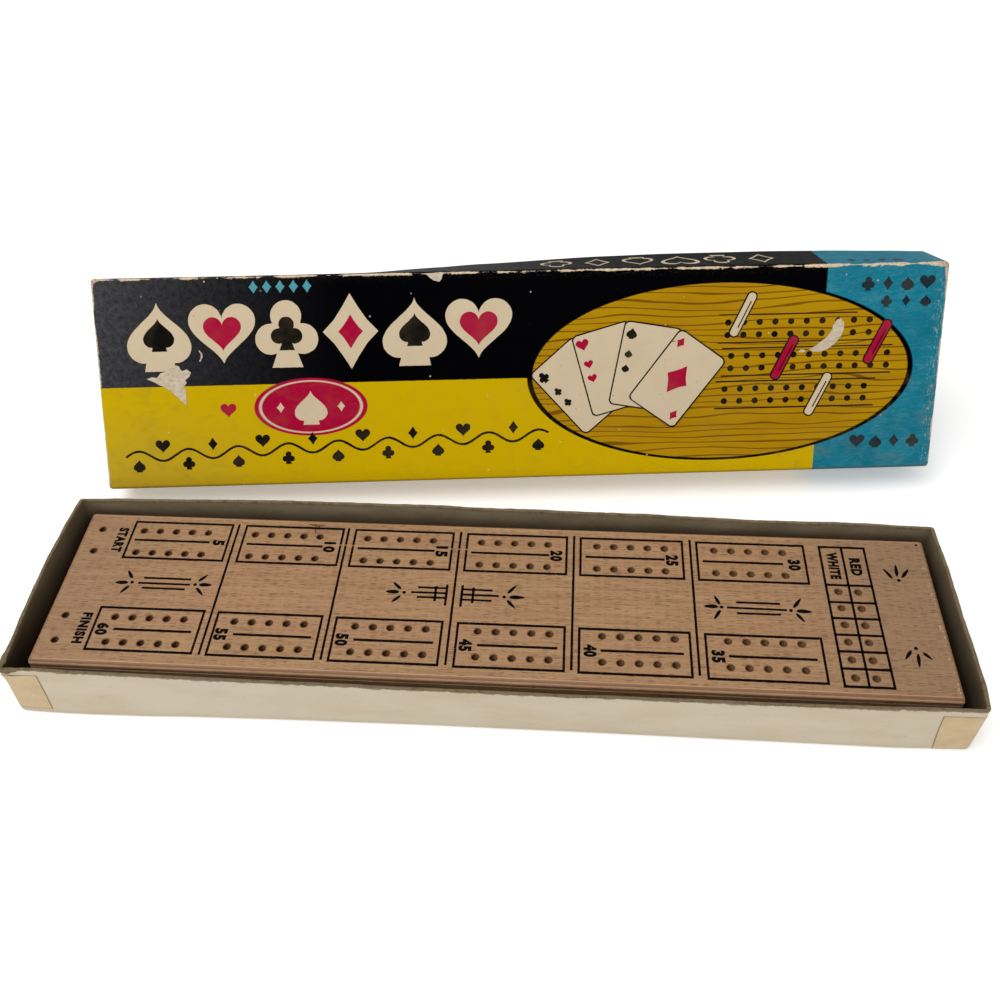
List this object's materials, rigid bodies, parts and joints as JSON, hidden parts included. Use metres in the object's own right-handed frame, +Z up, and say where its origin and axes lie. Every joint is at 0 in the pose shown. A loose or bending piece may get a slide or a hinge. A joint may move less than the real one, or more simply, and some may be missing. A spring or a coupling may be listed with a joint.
{
  "type": "cribbage board in a lift-off-lid box",
  "caption": "Wooden two-player cribbage board with scoring holes, in an open paperboard tray, with its printed lift-off lid stood up behind and pegs stored in the board.",
  "frame": {"origin": "centre of the tray's underside, on the table", "axes": "+X along the tray's length, +Y away from the viewer towards the lid, +Z up"},
  "size_m": [0.3636, 0.201, 0.0924],
  "materials": {
    "chipboard": "matte grey-brown chipboard",
    "liner_paper": "matte off-white paper",
    "stay_tape": "matte tan paper tape",
    "leaflet_paper": "matte cream paper",
    "beech": "lightly varnished beech",
    "plate_brass": "dull stamped brass",
    "screw_steel": "plain steel screw",
    "red_plastic": "moulded plastic",
    "white_plastic": "moulded plastic",
    "printed_paper": "printed paper in yellow, black and blue-green fields, lightly varnished"
  },
  "bodies": {
    "tray": {"tray_shell": "chipboard", "tray_liner": "liner_paper", "tray_stay_front_left": "stay_tape", "tray_stay_front_right": "stay_tape", "tray_stay_back_left": "stay_tape", "tray_stay_back_right": "stay_tape", "instruction_leaflet": "leaflet_paper"},
    "lid": {"lid_shell": "chipboard", "lid_wrap": "printed_paper", "lid_stay_lower_left": "stay_tape", "lid_stay_lower_right": "stay_tape", "lid_stay_upper_left": "stay_tape", "lid_stay_upper_right": "stay_tape"},
    "board": {"cribbage_board": "beech", "peg_cover_screw": "screw_steel"},
    "peg_cover": {"peg_cover_plate": "plate_brass"},
    "red_peg_1": {"peg_red_1": "red_plastic"},
    "white_peg_1": {"peg_white_1": "white_plastic"},
    "red_peg_2": {"peg_red_2": "red_plastic"},
    "white_peg_2": {"peg_white_2": "white_plastic"}
  },
  "joints": [
    {"name": "board_lift", "type": "slide", "parent": "tray", "child": "board", "axis": [0, 0, 1], "range_m": [0, 0.06]},
    {"name": "lid_tip", "type": "hinge", "parent": "tray", "child": "lid", "pos_m": [0.0065, 0.0996, 0.0001], "axis": [0.9967, 0.0814, 0], "range_deg": [-61.3, 28.7]},
    {"name": "peg_cover_swing", "type": "hinge", "parent": "board", "child": "peg_cover", "pos_m": [-0.1718, 0.01135, 0.012], "axis": [-1, 0, 0], "range_deg": [0, 110]},
    {"name": "red_peg_1_slide", "type": "slide", "parent": "board", "child": "red_peg_1", "axis": [-1, 0, 0], "range_m": [0, 0.026]},
    {"name": "white_peg_1_slide", "type": "slide", "parent": "board", "child": "white_peg_1", "axis": [-1, 0, 0], "range_m": [0, 0.026]},
    {"name": "red_peg_2_slide", "type": "slide", "parent": "board", "child": "red_peg_2", "axis": [-1, 0, 0], "range_m": [0, 0.026]},
    {"name": "white_peg_2_slide", "type": "slide", "parent": "board", "child": "white_peg_2", "axis": [-1, 0, 0], "range_m": [0, 0.026]}
  ]
}
